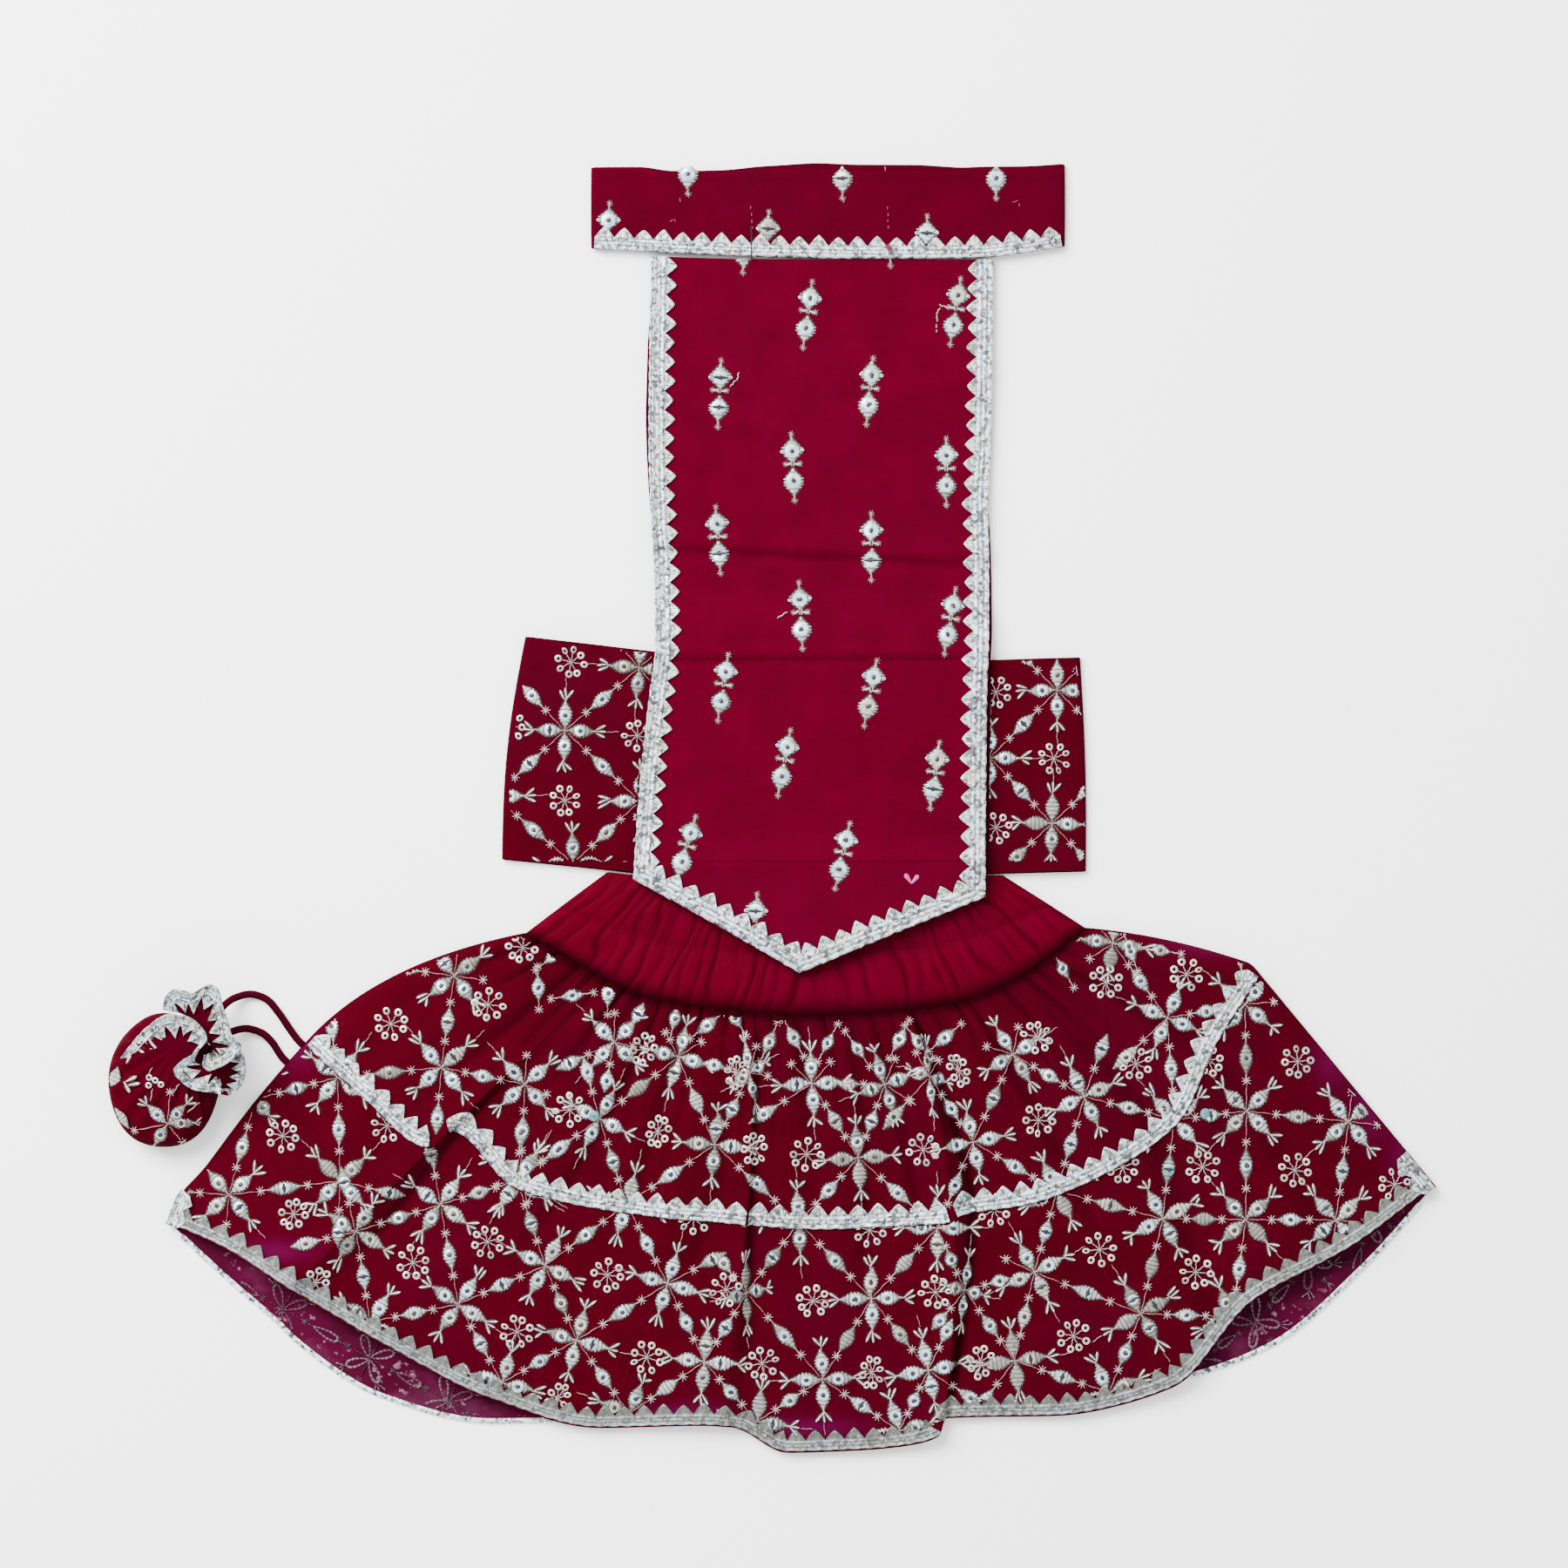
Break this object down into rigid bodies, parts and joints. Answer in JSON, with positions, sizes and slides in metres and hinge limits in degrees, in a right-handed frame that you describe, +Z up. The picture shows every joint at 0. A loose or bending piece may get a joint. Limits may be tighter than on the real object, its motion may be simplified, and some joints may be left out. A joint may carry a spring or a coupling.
{
  "type": "dog lehenga",
  "caption": "Small dog lehenga laid flat: neck band, pointed back panel, belly band, elastic waistband and flared gathered skirt edged with toothed lace, with a drawstring pouch on a cord.",
  "frame": {"origin": "centre of the laid-out garment's plan, on the table", "axes": "+Z up from the table, +Y towards the neck band, +X to the right of the picture"},
  "size_m": [0.4558, 0.4435, 0.025],
  "materials": {
    "crepe": "matt crimson crepe",
    "lining": "plain crimson lining",
    "satin": "soft sheen crimson satin",
    "jaal_cloth": "crimson crepe with silver thread and sequin lattice",
    "jaal_wrong_side": "magenta wrong side of the embroidered cloth",
    "silver_lace": "metallic silver woven lace",
    "cord": "round crimson cord"
  },
  "bodies": {
    "root": {"neck_band_front": "crepe", "neck_band_back": "crepe", "neck_lace": "silver_lace", "back_panel": "crepe", "back_panel_lining": "lining", "panel_lace_left": "silver_lace", "panel_lace_right": "silver_lace", "panel_lace_point_left": "silver_lace", "panel_lace_point_right": "silver_lace", "belly_band_front": "jaal_cloth", "belly_band_back": "jaal_cloth", "waistband_front": "satin", "waistband_back": "satin", "skirt_front": "jaal_cloth", "skirt_back": "jaal_wrong_side", "skirt_mid_lace": "silver_lace", "skirt_hem_lace": "silver_lace", "skirt_back_hem_lace": "silver_lace", "pouch_body": "jaal_cloth", "pouch_frill": "jaal_cloth", "pouch_frill_lace": "silver_lace", "pouch_cord_upper": "cord", "pouch_cord_lower": "cord"}
  },
  "joints": []
}
